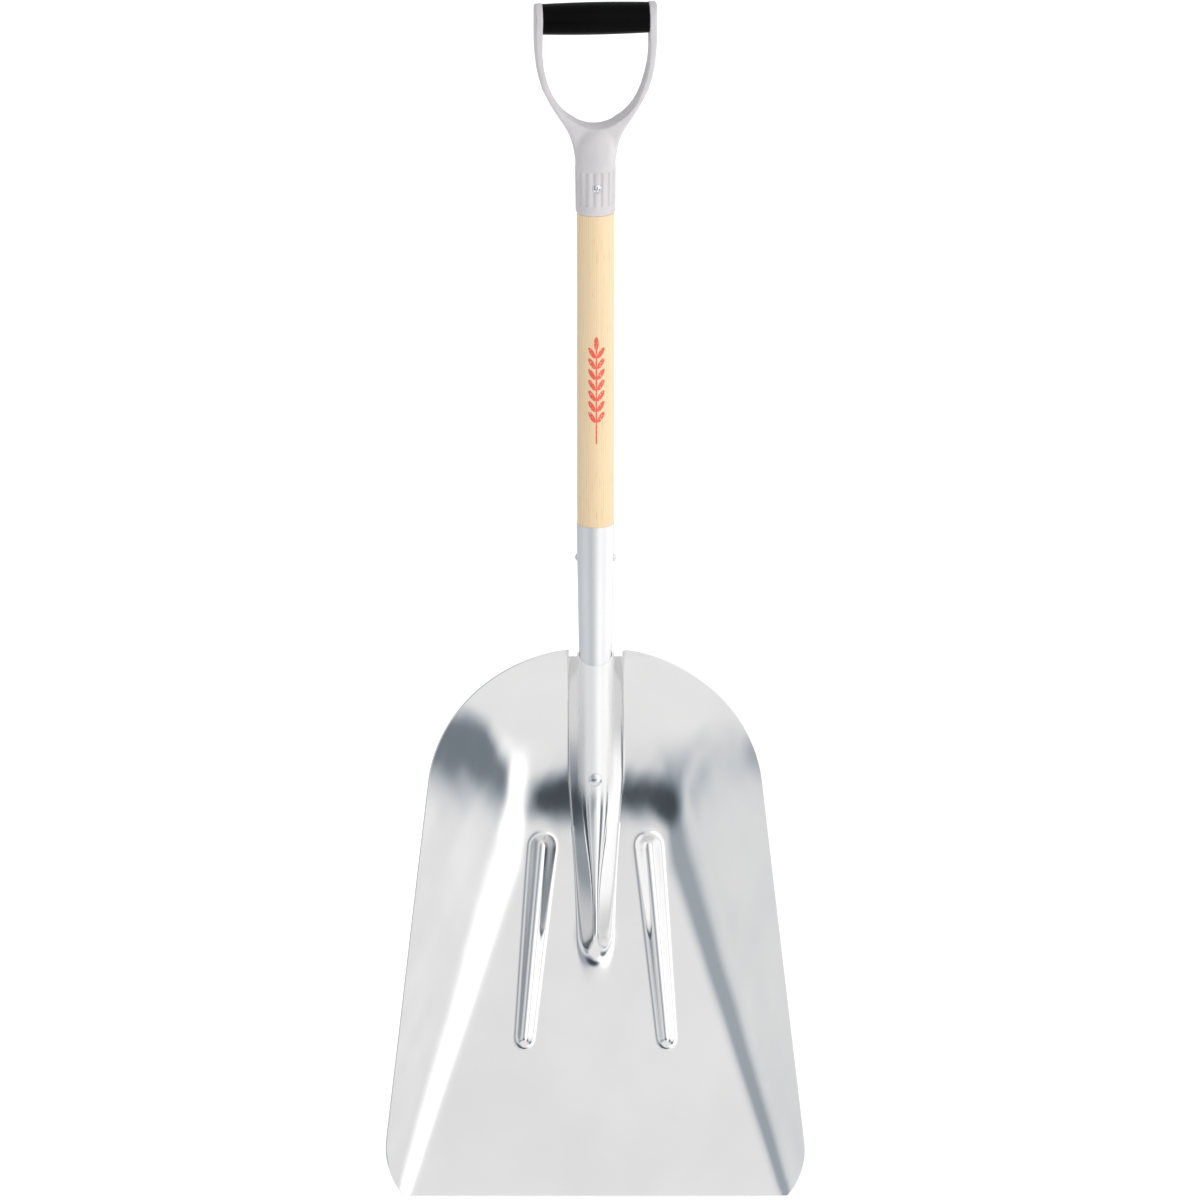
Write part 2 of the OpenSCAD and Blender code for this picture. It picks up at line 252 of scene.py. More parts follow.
class Paint(Nodes):
    """One procedural material under construction."""

    def __init__(self, name: str) -> None:
        """Starts a material with a bare principled shader.

        Args:
            name: the material's name.
        """
        self.material = bpy.data.materials.new(name)
        super().__init__(self.material)
        self.shader = self.node("ShaderNodeBsdfPrincipled")
        self.node("ShaderNodeOutputMaterial", None, {"Surface": self.shader.outputs[0]})

    def surface(self, **values: object) -> None:
        """Sets or links the shader's inputs; an underscore stands for a space.

        Args:
            values: input name to value.
        """
        for name, value in values.items():
            self.feed(self.shader, name.replace("_", " "), value)

    def place(self) -> tuple[Val, Val, Val]:
        """The point's own X, Y and Z in metres.

        Returns:
            Three values.
        """
        where = self.node("ShaderNodeTexCoord").outputs["Object"]
        split = self.node("ShaderNodeSeparateXYZ", None, {0: where})
        return tuple(Val(self, split.outputs[i]) for i in range(3))

    def vector(self, x: Val | float, y: Val | float, z: Val | float) -> bpy.types.NodeSocket:
        """Three numbers as one vector.

        Args:
            x: first part.
            y: second part.
            z: third part.

        Returns:
            The vector's socket.
        """
        return self.node("ShaderNodeCombineXYZ", None, {0: x, 1: y, 2: z}).outputs[0]

    def noise(self, vector: bpy.types.NodeSocket, scale: float, detail: float = 2.0,
              rough: float = 0.5) -> Val:
        """Noise between 0 and 1.

        Args:
            vector: where it is read.
            scale: how fine it is.
            detail: how many finer layers it has.
            rough: how strong the finer layers are.

        Returns:
            The noise.
        """
        made = self.node("ShaderNodeTexNoise", None, {
            "Vector": vector, "Scale": scale, "Detail": detail, "Roughness": rough})
        return Val(self, made.outputs[0])

    def blend(self, factor: Val | float, first: object, second: object,
              how: str = "MIX") -> bpy.types.NodeSocket:
        """Mixes two colours.

        Args:
            factor: how much of the second.
            first: a colour or a colour socket.
            second: a colour or a colour socket.
            how: the blend type.

        Returns:
            The mixed colour's socket.
        """
        made = self.node("ShaderNodeMix", {"data_type": "RGBA", "blend_type": how},
                         {0: factor, 6: first, 7: second})
        return made.outputs[2]

    def bump(self, height: Val, strength: float, depth: float) -> None:
        """Feeds the shader's normal from a height.

        Args:
            height: height between 0 and 1.
            strength: how strongly it shows.
            depth: what a height of 1 stands for, in metres.
        """
        made = self.node("ShaderNodeBump", None, {
            "Strength": strength, "Distance": depth, "Height": height})
        self.surface(Normal=made.outputs[0])


# ---------------------------------------------------------------- finishes


@dataclass(frozen=True)
class SheetAluminium:
    """Rolled aluminium sheet, polished, with fine lines along one direction.

    The crown is the frog's rounded top. With satin above 0 it is left duller than the rest.
    """

    name: str
    tint: Rgb = (0.815, 0.81, 0.81)
    rough: float = 0.115
    line_tilt: float = 0.0
    line_scale: float = 2600.0
    line_depth: float = 0.000012
    clouds: float = 0.06
    wear: float = 0.5
    satin: float = 0.0
    satin_fade: float = 1.5
    crown_half: tuple[float, float] = (18.5 * MM, 13.5 * MM)
    crown_foot: tuple[float, float] = (-735 * MM, -700 * MM)

    def make(self) -> bpy.types.Material:
        """Builds the material.

        Returns:
            The material.
        """
        paint = Paint(self.name)
        x, y, z = paint.place()
        along = y * math.sin(self.line_tilt) + z * math.cos(self.line_tilt)
        across = y * math.cos(self.line_tilt) - z * math.sin(self.line_tilt)
        lines = paint.noise(paint.vector(x, across, along * 0.02), self.line_scale, 2.0, 0.6)
        streaks = paint.noise(paint.vector(x, across, along * 0.06), 160.0, 3.0, 0.6)
        clouds = paint.noise(paint.vector(x, across, along), 9.0, 4.0, 0.55)
        scratch = paint.noise(paint.vector(x * 0.35 + along * 0.2, across, along), 420.0, 2.0)
        nicks = scratch.step(0.70, 0.78) * paint.noise(
            paint.vector(x, y, z), 26.0, 2.0).step(0.52, 0.66) * self.wear
        rough = self.rough + (clouds - 0.5) * self.clouds * 1.6 + (streaks - 0.5) * 0.07
        dull = clouds.step(0.35, 0.75)
        colour = paint.blend(dull, self.tint, tuple(0.955 * c for c in self.tint))
        colour = paint.blend(nicks * 0.35, colour, (0.62, 0.62, 0.64))
        metal: Val | float = 1.0
        if self.satin:
            crown = abs(x).step(*self.crown_half) * z.step(*self.crown_foot)
            rough = rough + crown * self.satin
            metal = 1.0 - crown * self.satin * self.satin_fade
        paint.surface(Base_Color=colour, Metallic=metal, Roughness=(rough + nicks * 0.12).clip())
        paint.bump(lines * 0.6 + streaks * 0.4 - nicks * 0.7, 0.5, self.line_depth)
        return paint.material


@dataclass(frozen=True)
class AshWood:
    """Sanded ash under a thin clear coat, with a printed ear of grain on the front."""

    name: str = "ash_wood"
    pale: Rgb = (0.76, 0.60, 0.385)
    warm: Rgb = (0.63, 0.45, 0.245)
    dark: Rgb = (0.44, 0.27, 0.125)
    ink: Rgb = (0.72, 0.062, 0.034)
    mark_low: float = -0.3775
    mark_high: float = -0.2765
    mark_x: float = 0.0008
    grains: int = 7

    def _mark(self, paint: Paint, x: Val, y: Val, z: Val) -> Val:
        """The printed ear: a stem with pairs of slanting grains and one at the tip.

        Args:
            paint: the material; not used.
            x: across.
            y: depth, to keep the print to the front.
            z: height.

        Returns:
            1 where there is ink.
        """
        tall = self.mark_high - self.mark_low
        pitch = tall * 0.70 / self.grains
        first = self.mark_low + tall * 0.20
        side = abs(x - self.mark_x)
        rise = (z - first) / pitch
        turn = math.radians(30)
        across, up = side - 0.0040, (rise.part() - 0.5) * pitch
        long_way = (across * math.sin(turn) + up * math.cos(turn)) / 0.0058
        short_way = (across * math.cos(turn) - up * math.sin(turn)) / 0.0021
        grain = (long_way * long_way + short_way * short_way).step(1.10, 0.86)
        grain = grain * rise.step(-0.01, 0.01)
        grain = grain * rise.step(self.grains + 0.01, self.grains - 0.01)
        tip_up = (z - (self.mark_high - 0.0062)) / 0.0062
        tip_side = side / 0.0022
        tip = (tip_up * tip_up + tip_side * tip_side).step(1.10, 0.86)
        stem = side.step(0.00075, 0.00055) * z.step(self.mark_low, self.mark_low + 0.0002)
        stem = stem * z.step(self.mark_high - 0.006, self.mark_high - 0.0065)
        return grain.most(tip).most(stem) * y.step(0.0, -0.001)

    def make(self) -> bpy.types.Material:
        """Builds the material.

        Returns:
            The material.
        """
        paint = Paint(self.name)
        x, y, z = paint.place()
        sway = paint.noise(paint.vector(x * 0.6, y * 0.6, z * 0.35), 14.0, 2.0)
        off_x = x + 0.022 + (sway - 0.5) * 0.010
        off_y = y * 0.55 + 0.004 + (sway - 0.5) * 0.006
        ring = (off_x * off_x + off_y * off_y).root() * 620.0
        ring = ring + paint.noise(paint.vector(x, y, z * 0.12), 60.0, 2.0) * 1.2
        late = ring.part().step(0.0, 0.85) * ring.part().step(1.0, 0.9)
        pores = paint.noise(paint.vector(x, y, z * 0.035), 1500.0, 2.0, 0.6).step(0.60, 0.72)
        fibre = paint.noise(paint.vector(x, y, z * 0.02), 420.0, 3.0, 0.6)
        patches = paint.noise(paint.vector(x, y, z * 0.3), 16.0, 3.0)
        colour = paint.blend(late * 0.55, self.pale, self.warm)
        colour = paint.blend((fibre - 0.35).clip() * 0.5, colour, self.warm)
        colour = paint.blend(pores * (0.25 + late * 0.4), colour, self.dark)
        colour = paint.blend(patches.step(0.5, 0.8) * 0.25, colour, self.warm)
        wear = paint.noise(paint.vector(x, y, z * 0.6), 900.0, 2.0).step(0.30, 0.42)
        ink = self._mark(paint, x, y, z) * wear
        colour = paint.blend(ink * 0.94, colour, self.ink)
        paint.surface(Base_Color=colour, Roughness=0.46 - late * 0.06 + pores * 0.08 - ink * 0.06,
                      Coat_Weight=0.18, Coat_Roughness=0.22, IOR=1.5)
        paint.bump(fibre * 0.5 - pores * 0.5 + late * 0.2 + ink * 0.25, 0.35, 0.00012)
        return paint.material


@dataclass(frozen=True)
class MouldedPlastic:
    """Satin moulded plastic with a faint fleck and soft flow marks."""

    name: str
    colour: Rgb
    shade: Rgb
    rough: float = 0.38
    grain: float = 0.00003
    shine: float = 0.4

    def make(self) -> bpy.types.Material:
        """Builds the material.

        Returns:
            The material.
        """
        paint = Paint(self.name)
        x, y, z = paint.place()
        where = paint.vector(x, y, z)
        clouds = paint.noise(paint.vector(x, y, z * 0.5), 38.0, 3.0)
        fleck = paint.noise(where, 2600.0, 1.0)
        skin = paint.noise(where, 1500.0, 2.0, 0.6)
        rub = paint.noise(paint.vector(x * 3, y * 3, z), 120.0, 3.0).step(0.56, 0.70)
        colour = paint.blend(clouds.step(0.3, 0.75), self.colour, self.shade)
        colour = paint.blend(fleck.step(0.62, 0.70) * 0.22, colour,
                             tuple(0.72 * c for c in self.colour))
        paint.surface(Base_Color=colour, IOR=1.48, Specular_IOR_Level=self.shine,
                      Roughness=self.rough + (clouds - 0.5) * 0.12 + rub * 0.08)
        paint.bump(skin * 0.8 + clouds * 0.2, 0.35, self.grain)
        return paint.material


@dataclass(frozen=True)
class BrightZinc:
    """Zinc-plated steel of the rivets and the screw."""

    name: str
    tint: Rgb = (0.80, 0.81, 0.82)
    rough: float = 0.20

    def make(self) -> bpy.types.Material:
        """Builds the material.

        Returns:
            The material.
        """
        paint = Paint(self.name)
        x, y, z = paint.place()
        where = paint.vector(x, y, z)
        bloom = paint.noise(where, 700.0, 3.0)
        pits = paint.noise(where, 2600.0, 2.0).step(0.62, 0.72)
        colour = paint.blend(bloom.step(0.35, 0.7), self.tint, tuple(0.86 * c for c in self.tint))
        colour = paint.blend(pits * 0.4, colour, (0.45, 0.45, 0.46))
        paint.surface(Base_Color=colour, Metallic=1.0,
                      Roughness=self.rough + (bloom - 0.5) * 0.18 + pits * 0.15)
        paint.bump(bloom * 0.4 - pits * 0.6, 0.4, 0.00005)
        return paint.material


# ---------------------------------------------------------------- mesh helpers


class Shading(Enum):
    """The sharpest edge that is still shaded as a smooth bend, in degrees."""

    SOFT = 180.0
    CRISP = 38.0

    def apply(self, mesh: bpy.types.Mesh) -> None:
        """Shades a mesh.

        Args:
            mesh: the mesh.
        """
        mesh.shade_smooth()
        if self is Shading.CRISP:
            mesh.set_sharp_from_angle(angle=math.radians(self.value))


def add_piece(name: str, mesh: bpy.types.Mesh, finish: bpy.types.Material,
              stands_for: str | None = None) -> bpy.types.Object:
    """Puts a finished mesh in the scene on the tool's one body.

    Args:
        name: the piece's name.
        mesh: its mesh.
        finish: its material.
        stands_for: the CAD node that it replaces, if any.

    Returns:
        The new object.
    """
    piece = bpy.data.objects.new(name, mesh)
    bpy.context.scene.collection.objects.link(piece)
    mesh.materials.clear()
    mesh.materials.append(finish)
    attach(piece, BODY)
    if stands_for:
        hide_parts(stands_for)
    LOG.info("%s: %d faces", name, len(mesh.polygons))
    return piece


def grid_mesh(name: str, sheets: list[tuple[Array, bool]], bands: list[Array]) -> bpy.types.Mesh:
    """Joins grids of points into one closed mesh.

    Args:
        name: the mesh's name.
        sheets: each a rows x columns x 3 grid, and whether its faces are turned over.
        bands: further grids, whose edges are welded to the rest.

    Returns:
        The welded mesh.
    """
    points, faces, start = [], [], 0
    for grid, flip in [*sheets, *[(b, False) for b in bands]]:
        rows, cols = grid.shape[:2]
        points.append(grid.reshape(-1, 3))
        index = start + np.arange(rows * cols).reshape(rows, cols)
        quads = np.stack([index[:-1, :-1], index[:-1, 1:], index[1:, 1:], index[1:, :-1]], -1)
        quads = quads.reshape(-1, 4)
        faces.append(quads[:, ::-1] if flip else quads)
        start += rows * cols
    mesh = bpy.data.meshes.new(name)
    mesh.from_pydata(np.concatenate(points).tolist(), [], np.concatenate(faces).tolist())
    work = bmesh.new()
    work.from_mesh(mesh)
    bmesh.ops.remove_doubles(work, verts=work.verts, dist=1e-7)
    bmesh.ops.recalc_face_normals(work, faces=work.faces)
    work.to_mesh(mesh)
    work.free()
    Shading.SOFT.apply(mesh)
    return mesh


def softened(node: str, name: str, voxel: float, rounds: int,
             band: tuple[float, float, int]) -> bpy.types.Mesh:
    """A copy of a CAD node with every edge rounded, as a moulding has.

    Args:
        node: the CAD node.
        name: the new mesh's name.
        voxel: how fine the new skin is.
        rounds: how many times it is smoothed.
        band: lowest and highest height of a part that is smoothed further, and how often.

    Returns:
        The new mesh.
    """
    mesh = frame["nodes"][node].data.copy()
    work = bmesh.new()
    work.from_mesh(mesh)
    bmesh.ops.remove_doubles(work, verts=work.verts, dist=1e-6)
    work.to_mesh(mesh)
    work.free()
    shape = bpy.data.objects.new(name, mesh)
    bpy.context.scene.collection.objects.link(shape)
    skin = shape.modifiers.new("skin", "REMESH")
    skin.mode, skin.voxel_size = "VOXEL", voxel
    ease = shape.modifiers.new("ease", "SMOOTH")
    ease.factor, ease.iterations = 0.5, rounds
    made = bpy.data.meshes.new_from_object(
        shape.evaluated_get(bpy.context.evaluated_depsgraph_get()))
    bpy.data.objects.remove(shape)
    work = bmesh.new()
    work.from_mesh(made)
    low, high, more = band
    inside = [v for v in work.verts if low < v.co.z < high]
    for _ in range(more):
        bmesh.ops.smooth_vert(work, verts=inside, factor=0.5,
                              use_axis_x=True, use_axis_y=True, use_axis_z=True)
    work.to_mesh(made)
    work.free()
    Shading.SOFT.apply(made)
    return made


def prism(near: list[Vector], far: list[Vector]) -> bpy.types.Mesh:
    """A closed block between two matching outlines.

    Args:
        near: the first outline's corners.
        far: the second outline's corners, in the same order.

    Returns:
        The block's mesh.
    """
    n = len(near)
    sides = [(i, (i + 1) % n, n + (i + 1) % n, n + i) for i in range(n)]
    mesh = bpy.data.meshes.new("cutter")
    mesh.from_pydata([p[:] for p in [*near, *far]], [],
                     [tuple(range(n))[::-1], tuple(range(n, 2 * n)), *sides])
    work = bmesh.new()
    work.from_mesh(mesh)
    bmesh.ops.recalc_face_normals(work, faces=work.faces)
    work.to_mesh(mesh)
    work.free()
    return mesh


def content(mesh: bpy.types.Mesh) -> tuple[float, int]:
    """Measures a mesh.

    Args:
        mesh: the mesh.

    Returns:
        Its volume, and how many of its edges don't join exactly two faces.
    """
    work = bmesh.new()
    work.from_mesh(mesh)
    found = work.calc_volume(), sum(not e.is_manifold for e in work.edges)
    work.free()
    return found


def carved(mesh: bpy.types.Mesh, cutters: list[bpy.types.Mesh],
           shading: Shading) -> bpy.types.Mesh:
    """Cuts shapes out of a closed mesh.

    Args:
        mesh: the mesh to cut.
        cutters: the shapes that are taken away.
        shading: how the result's faces are shaded.

    Returns:
        The cut mesh.

    Raises:
        ValueError: if a mesh is open, or a cutter takes nothing away.
    """
    for solid in (mesh, *cutters):
        gaps = content(solid)[1]
        if gaps:
            raise ValueError(f"{solid.name} is open along {gaps} edges")
    shape = bpy.data.objects.new("carved", mesh)
    tools = [bpy.data.objects.new("cutter", cutter) for cutter in cutters]
    for thing in (shape, *tools):
        bpy.context.scene.collection.objects.link(thing)
    left = content(mesh)[0]
    for tool in tools:
        cut = shape.modifiers.new("cut", "BOOLEAN")
        cut.operation, cut.solver, cut.object = "DIFFERENCE", "MANIFOLD", tool
        bpy.context.view_layer.update()
        made = bpy.data.meshes.new_from_object(
            shape.evaluated_get(bpy.context.evaluated_depsgraph_get()))
        after, gaps = content(made)
        LOG.info("cut %d: %.3f cm3 left, %d open edges", len(shape.modifiers), after * 1e6, gaps)
        if gaps or after > left - LEAST_CUT:
            raise ValueError(f"cut {len(shape.modifiers)} took nothing or left {gaps} gaps")
        left = after
    for thing in (shape, *tools):
        bpy.data.objects.remove(thing)
    shading.apply(made)
    return made


# ---------------------------------------------------------------- the pan


@dataclass
class ScoopPan:
    """The dished aluminium pan: floor, side walls, heel, two ribs and the frog.

    Its own frame runs x across, u up the floor from the lip, and w towards the load.
    """

    width: float = 387 * MM
    lip_width: float = 356 * MM
    length: float = 508 * MM
    sheet: float = 2 * MM
    taper: float = math.radians(6.8)
    wall: float = math.radians(32)
    heel_start: float = 300 * MM
    heel_r: float = 270 * MM
    corner_r: float = 73 * MM
    corner_u: float = 45 * MM
    bow: float = 137 * MM
    frog_tip: float = 213 * MM
    frog_w: float = 50 * MM
    frog_tip_w: float = 29 * MM
    nose: float = 30 * MM
    ridge_end: float = 262 * MM
    round_start: float = 372 * MM
    ridge_r: float = 3.5 * MM
    rib_h: float = 9 * MM
    rib_w: float = 30 * MM
    rib_low_w: float = 20 * MM
    rib_low: tuple[float, float] = (66 * MM, 146 * MM)
    rib_high: tuple[float, float] = (49.5 * MM, 325 * MM)
    crease_slope: float = 0.306
    axis_h: float = 102 * MM
    rim_to_bar: float = 594 * MM
    bar_r: float = 14.7 * MM
    socket_r: float = 17.3 * MM
    socket_len: float = 122 * MM
    socket_slope: float = 0.0164
    notch: tuple[float, float] = (17 * MM, 24.5 * MM)
    notch_depth: float = 4 * MM
    lap: float = 13 * MM
    lap_w: float = 15.6 * MM
    rim_swell: float = 3.5 * MM
    rim_trim: float = 2 * MM
    edge_bulge: float = 0.45 * MM
    rivet_hole_r: float = 2.7 * MM
    rivet_seat_r: float = 6.4 * MM
    rivet_head: float = 2.6 * MM
    cut_depth: tuple[float, float] = (45 * MM, 200 * MM)
    ripples: tuple[tuple[float, float, float, float], ...] = (
        (105, 300, 0.4, 0.42), (62, -210, 2.1, 0.23), (-40, 120, 4.0, 0.10),
        (26, 66, 1.2, 0.038), (-18, 38, 5.1, 0.016))
    lift: float = field(init=False)

    def __post_init__(self) -> None:
        """Works out the outline's joints and where the pan sits on the shaft."""
        face = next(m for m in frame["record"]["mounts"] if m["name"] == "blade_underside")
        self.lift = math.atan2(-face["axis"][2], face["axis"][1])
        self.rim_z = self.bar_r - self.rim_to_bar
        self.shaft_y = self.length * math.sin(self.lift) - self.axis_h * math.cos(self.lift)
        self.lip_z = (self.rim_z - self.length * math.cos(self.lift)
                      - self.axis_h * math.sin(self.lift))
        self.corner_x = self.width / 2 - self.corner_r
        self.side_u = self.corner_u + self.corner_r * math.sin(self.taper)
        self.side_x = self.corner_x + self.corner_r * math.cos(self.taper)
        slope = math.tan(self.taper)
        self.bow_u = self.length + 1 * MM - self.bow
        edge = self.side_x - (self.bow_u - self.side_u) * slope
        self.bow_a = math.sqrt(edge**2 - (self.bow * slope) ** 2)
        self.bow_start = self.bow_u + self.bow**2 * slope / edge

    # -- outline

    def half_width(self, u: Array) -> Array:
        """Half the pan's width at u."""
        corner = self.corner_x + np.sqrt(
            np.maximum(0, self.corner_r**2 - (self.corner_u - u) ** 2))
        corner = np.minimum(corner, self.lip_width / 2 + u * 1.7)
        side = self.side_x - (u - self.side_u) * math.tan(self.taper)
        bow = self.bow_a * np.sqrt(np.maximum(0, 1 - ((u - self.bow_u) / self.bow) ** 2))
        return np.where(u < self.side_u, corner, np.where(u < self.bow_start, side, bow))

    # -- form

    def crease_x(self, u: Array) -> Array:
        """Where the floor turns up into the side walls."""
        return self.lip_width / 2 - self.crease_slope * u

    def crease_blend(self, u: Array) -> Array:
        """How softly it turns up."""
        return 9 * MM + 15 * MM * np.clip(u / (380 * MM), 0, 1)

    def dish(self, x: Array, u: Array) -> Array:
        """Height of the plain dish, without frog or ribs."""
        q, c = np.abs(x) - self.crease_x(u), self.crease_blend(u)
        side = np.where(q < -c, 0, np.where(q > c, q, (q + c) ** 2 / (4 * c)))
        side = side * math.tan(self.wall)
        d = np.maximum(0, u - self.heel_start)
        heel = self.heel_r - np.sqrt(np.maximum(0, self.heel_r**2 - d**2))
        return np.hypot(side, heel)

    def rib(self, x: Array, u: Array) -> Array:
        """Height that the two ribs add."""
        (x0, u0), (x1, u1) = self.rib_low, self.rib_high
        run = (x1 - x0, u1 - u0)
        ax = np.abs(x)
        t = np.clip(((ax - x0) * run[0] + (u - u0) * run[1]) / (run[0]**2 + run[1]**2), 0, 1)
        off = np.hypot(ax - x0 - t * run[0], u - u0 - t * run[1])
        k = np.clip(2 * off / (self.rib_low_w + (self.rib_w - self.rib_low_w) * t), 0, 1)
        return self.rib_h * (0.65 + 0.35 * t) * np.cos(k * math.pi / 2) ** 2

    def frog_half(self, u: Array) -> Array:
        """Half the frog's width at its foot."""
        t = np.clip((u - self.frog_tip) / (175 * MM), 0, 1) ** 1.6
        return self.frog_tip_w / 2 + (self.frog_w - self.frog_tip_w) / 2 * t

    def frog_radius(self, u: Array) -> Array:
        """Radius of the frog's top: the socket's own above, a narrow ridge below."""
        z = self.rim_z + (u - self.length) / math.cos(self.lift)
        full = self.socket_r + (z - self.rim_z - self.socket_len) * self.socket_slope
        t = self._ease((u - self.ridge_end) / (self.round_start - self.ridge_end))
        return self.ridge_r + (full - self.ridge_r) * t

    def frog(self, x: Array, u: Array) -> Array:
        """Height of the frog's own surface: a rounded ridge on straight flanks."""
        r, half, c = self.frog_radius(u), self.frog_half(u), math.cos(self.lift)
        base = self.dish(half, u)
        crest = self.axis_h + (u - self.length) * math.tan(self.lift) + r / c
        tall = np.maximum(6 * MM, (crest - base) * c)
        off = np.hypot(x, half * np.maximum(0, self.frog_tip + self.nose - u) / self.nose)
        lean = np.arctan2(tall - r, half) + np.arcsin(r / np.hypot(half, tall - r))
        top = tall - r + np.sqrt(np.maximum(0, r * r - off * off))
        flank = tall - r + r / np.cos(lean) - off * np.tan(lean)
        return base + np.where(off < r * np.sin(lean), top, flank) / c

    @staticmethod
    def _ease(t: Array) -> Array:
        """Rises smoothly from 0 to 1."""
        k = np.clip(t, 0, 1)
        return k * k * (3 - 2 * k)

    def dents(self, x: Array, u: Array) -> Array:
        """Slight unevenness of the drawn sheet: fractions of a millimetre, in the walls."""
        total = 0 * x
        for long_x, long_u, phase, size in self.ripples:
            turns = x / (long_x * MM) + u / (long_u * MM)
            total = total + size * MM * np.sin(2 * math.pi * turns + phase)
        wall = self._ease((np.abs(x) - self.crease_x(u) + 8 * MM) / (45 * MM))
        heel = 0.8 * self._ease((u - 300 * MM) / (60 * MM))
        return total * np.maximum(np.maximum(wall, heel), 0.14)

    def height(self, x: Array, u: Array) -> Array:
        """Height of the load side above the floor."""
        a, b, k = self.dish(x, u) + self.rib(x, u), self.frog(x, u), 5 * MM
        a = a + self.dents(x, u)
        h = np.maximum(0, k - np.abs(a - b)) / k
        return np.maximum(a, b) + h * h * k / 4

    def skin(self, x: Array, u: Array, depth: Array) -> Array:
        """Points on the sheet, pushed back from the load side.

        Args:
            x: across.
            u: up the floor.
            depth: how far behind the load side.

        Returns:
            Points in the model's frame.
        """
        e = 0.05 * MM
        dx = (self.height(x + e, u) - self.height(x - e, u)) / (2 * e)
        du = (self.height(x, u + e) - self.height(x, u - e)) / (2 * e)
        size = np.sqrt(dx * dx + du * du + 1)
        return self.place(x + dx / size * depth, u + du / size * depth,
                          self.height(x, u) - depth / size)

    def place(self, x: Array, u: Array, w: Array) -> Array:
        """Turns the pan's own x, u and w into the model's frame."""
        s, c = math.sin(self.lift), math.cos(self.lift)
        return np.stack([x, u * s - w * c - self.shaft_y, u * c + w * s + self.lip_z], -1)

    # -- grid

    def _columns(self, u: Array) -> Array:
        """Places across the pan that follow its features, at each u.

        Args:
            u: rows.

        Returns:
            rows x columns, from left to right.
        """
        edge = self.half_width(u)
        rim_u = self.length - self.rim_swell
        q = np.clip((u - 330 * MM) / (rim_u - 330 * MM), 0, 1)
        foot = self.frog_half(u) + 3 * MM
        t = (u - self.rib_low[1]) / (self.rib_high[1] - self.rib_low[1])
        rib_x = self.rib_low[0] + (self.rib_high[0] - self.rib_low[0]) * t
        rib_in = (rib_x - self.rib_w / 2) * (1 - q) + (foot + 2.5 * MM) * q
        rib_in = np.maximum(foot + 1.5 * MM, rib_in)
        rib_out = (rib_x + self.rib_w / 2) * (1 - q) + (foot + 5 * MM) * q
        rib_out = np.maximum(rib_in + 2 * MM, rib_out)
        wall = np.minimum(self.crease_x(u) + self.crease_blend(u), edge - 6 * MM)
        wall = np.maximum(wall, (rib_out + edge) / 2)
        stops = [(0 * u, 0), (foot, 26), (rib_in, 5), (rib_out, 22), (wall, 22), (edge, 16)]
        half = [stops[0][0]]
        for (a, _), (b, n) in zip(stops, stops[1:]):
            half += [a + (b - a) * i / n for i in range(1, n + 1)]
        half = np.stack(half, -1)
        return np.concatenate([-half[:, :0:-1], half], 1)

    def build(self, finish: bpy.types.Material) -> bpy.types.Object:
        """Builds the pan.

        Args:
            finish: its material.

        Returns:
            The pan.
        """
        rim_u = self.length - self.rim_swell
        turn = np.linspace(-math.asin(self.corner_u / self.corner_r), self.taper, 26)
        low = np.maximum(0, self.corner_u + self.corner_r * np.sin(turn))
        rows = np.concatenate([low, np.linspace(self.side_u, rim_u, 176)[1:]])
        x = self._columns(rows)
        u = rows[:, None] + 0 * x
        share = np.clip(1 - (x / self.half_width(u)) ** 2, 0, 1)
        u = u + self.rim_swell * (u / rim_u) ** 12 * share
        front = self.skin(x, u, 0 * x)
        back = self.skin(x, u, self.sheet + 0 * x)
        ring_x = np.concatenate([x[0], x[1:, -1], x[-1, -2::-1], x[-2:0:-1, 0], x[0, :1]])
        ring_u = np.concatenate([u[0], u[1:, -1], u[-1, -2::-1], u[-2:0:-1, 0], u[0, :1]])
        out = np.stack([self._round(ring_u), -self._round(ring_x)], -1)
        out /= np.maximum(np.linalg.norm(out, axis=1, keepdims=True), 1e-9)
        edge = []
        for part in (0.0, 0.12, 0.35, 0.65, 0.88, 1.0):
            bulge = self.edge_bulge * math.sin(math.pi * part) ** 0.6 if 0 < part < 1 else 0.0
            edge.append(self.skin(ring_x, ring_u, part * self.sheet + 0 * ring_x)
                        + self._outward(out * bulge))
        mesh = grid_mesh("pan", [(front, False), (back, True)], [np.stack(edge)])
        mesh = carved(mesh, self._cutters(), Shading.CRISP)
        return add_piece("pan", mesh, finish, "scoop_blade")

